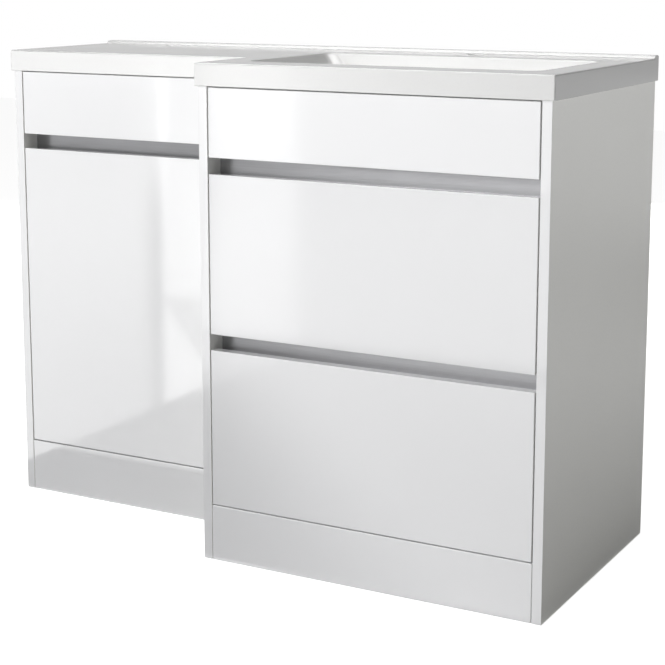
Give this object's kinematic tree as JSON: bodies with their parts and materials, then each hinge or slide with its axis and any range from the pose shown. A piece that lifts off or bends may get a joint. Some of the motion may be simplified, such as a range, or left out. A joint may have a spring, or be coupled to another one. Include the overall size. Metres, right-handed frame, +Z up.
{
  "type": "toilet and basin combination unit",
  "caption": "Gloss bathroom vanity with drawers and a shallower toilet cabinet beside it, under one L-shaped cast top with a rectangular bowl.",
  "frame": {"origin": "centre of the whole unit's footprint, on the floor", "axes": "+X to the right along the front, +Y to the wall behind, +Z up"},
  "size_m": [1.11, 0.47, 0.828],
  "materials": {
    "top_gelcoat": "white glossy gel coat on cast marble resin",
    "gloss_front": "white high-gloss wrap on fibreboard",
    "side_board": "white satin laminate on chipboard",
    "inner_board": "white matt laminate on chipboard",
    "drawer_board": "pale grey laminate on chipboard",
    "handle_rail": "satin anodised",
    "zinc": "bright zinc plate",
    "beech": "fluted beech",
    "white_plastic": "moulded, fine texture",
    "bracket_steel": "galvanised sheet",
    "runner_steel": "zinc-plated roll-formed sheet",
    "bearing_steel": "plain steel balls in a stamped cage"
  },
  "bodies": {
    "carcass": {"basin_top": "top_gelcoat", "vanity_side_left": "side_board", "vanity_side_right": "side_board", "vanity_base": "inner_board", "vanity_back_rail_top": "inner_board", "vanity_back_rail_low": "inner_board", "vanity_front_rail": "inner_board", "vanity_fascia": "gloss_front", "vanity_plinth": "gloss_front", "vanity_handle_rail_upper": "handle_rail", "vanity_handle_rail_lower": "handle_rail", "wc_side_left": "side_board", "wc_side_right": "side_board", "wc_back_rail_top": "inner_board", "wc_back_rail_mid": "inner_board", "wc_front_rail": "inner_board", "wc_foot_rail": "inner_board", "wc_battens": "inner_board", "wc_plinth": "gloss_front", "wc_handle_rail": "handle_rail", "cam_locks": "zinc", "cam_bolts": "zinc", "dowels": "beech", "corner_blocks": "white_plastic", "carcass_screws": "zinc", "connector_bolts": "zinc", "connector_sleeves": "zinc", "wall_brackets": "bracket_steel", "stud_sockets": "white_plastic", "upper_cabinet_runners": "runner_steel", "lower_cabinet_runners": "runner_steel", "cabinet_runner_screws": "zinc"},
    "upper_drawer": {"upper_drawer_front": "gloss_front", "upper_drawer_side_left": "drawer_board", "upper_drawer_side_right": "drawer_board", "upper_drawer_inner_front": "drawer_board", "upper_drawer_back": "drawer_board", "upper_drawer_bottom": "drawer_board", "upper_drawer_trap_surround": "drawer_board", "upper_drawer_runners": "runner_steel", "upper_drawer_screws": "zinc"},
    "lower_drawer": {"lower_drawer_front": "gloss_front", "lower_drawer_side_left": "drawer_board", "lower_drawer_side_right": "drawer_board", "lower_drawer_inner_front": "drawer_board", "lower_drawer_back": "drawer_board", "lower_drawer_bottom": "drawer_board", "lower_drawer_runners": "runner_steel", "lower_drawer_screws": "zinc"},
    "upper_middle_runner": {"upper_middle_runners": "runner_steel"},
    "upper_outer_cage": {"upper_outer_ball_cages": "bearing_steel"},
    "upper_inner_cage": {"upper_inner_ball_cages": "bearing_steel"},
    "lower_middle_runner": {"lower_middle_runners": "runner_steel"},
    "lower_outer_cage": {"lower_outer_ball_cages": "bearing_steel"},
    "lower_inner_cage": {"lower_inner_ball_cages": "bearing_steel"},
    "wc_fascia_body": {"wc_fascia": "gloss_front", "wc_fascia_studs": "white_plastic"},
    "wc_front_panel_body": {"wc_front_panel": "gloss_front", "wc_panel_studs": "white_plastic"}
  },
  "joints": [
    {"name": "upper_drawer_slide", "type": "slide", "parent": "carcass", "child": "upper_drawer", "axis": [0, -1, 0], "range_m": [0, 0.35]},
    {"name": "lower_drawer_slide", "type": "slide", "parent": "carcass", "child": "lower_drawer", "axis": [0, -1, 0], "range_m": [0, 0.35]},
    {"name": "upper_middle_runner_slide", "type": "slide", "parent": "carcass", "child": "upper_middle_runner", "axis": [0, -1, 0], "range_m": [0, 0.175]},
    {"name": "upper_outer_cage_slide", "type": "slide", "parent": "carcass", "child": "upper_outer_cage", "axis": [0, -1, 0], "range_m": [0, 0.0875]},
    {"name": "upper_inner_cage_slide", "type": "slide", "parent": "carcass", "child": "upper_inner_cage", "axis": [0, -1, 0], "range_m": [0, 0.2625]},
    {"name": "lower_middle_runner_slide", "type": "slide", "parent": "carcass", "child": "lower_middle_runner", "axis": [0, -1, 0], "range_m": [0, 0.175]},
    {"name": "lower_outer_cage_slide", "type": "slide", "parent": "carcass", "child": "lower_outer_cage", "axis": [0, -1, 0], "range_m": [0, 0.0875]},
    {"name": "lower_inner_cage_slide", "type": "slide", "parent": "carcass", "child": "lower_inner_cage", "axis": [0, -1, 0], "range_m": [0, 0.2625]},
    {"name": "wc_fascia_pull", "type": "slide", "parent": "carcass", "child": "wc_fascia_body", "axis": [0, -1, 0], "range_m": [0, 0.2]},
    {"name": "wc_front_panel_pull", "type": "slide", "parent": "carcass", "child": "wc_front_panel_body", "axis": [0, -1, 0], "range_m": [0, 0.2]}
  ],
  "couplings": [
    {"joint": "upper_middle_runner_slide", "follows": "upper_drawer_slide", "ratio": 0.5},
    {"joint": "upper_outer_cage_slide", "follows": "upper_drawer_slide", "ratio": 0.25},
    {"joint": "upper_inner_cage_slide", "follows": "upper_drawer_slide", "ratio": 0.75},
    {"joint": "lower_middle_runner_slide", "follows": "lower_drawer_slide", "ratio": 0.5},
    {"joint": "lower_outer_cage_slide", "follows": "lower_drawer_slide", "ratio": 0.25},
    {"joint": "lower_inner_cage_slide", "follows": "lower_drawer_slide", "ratio": 0.75}
  ]
}
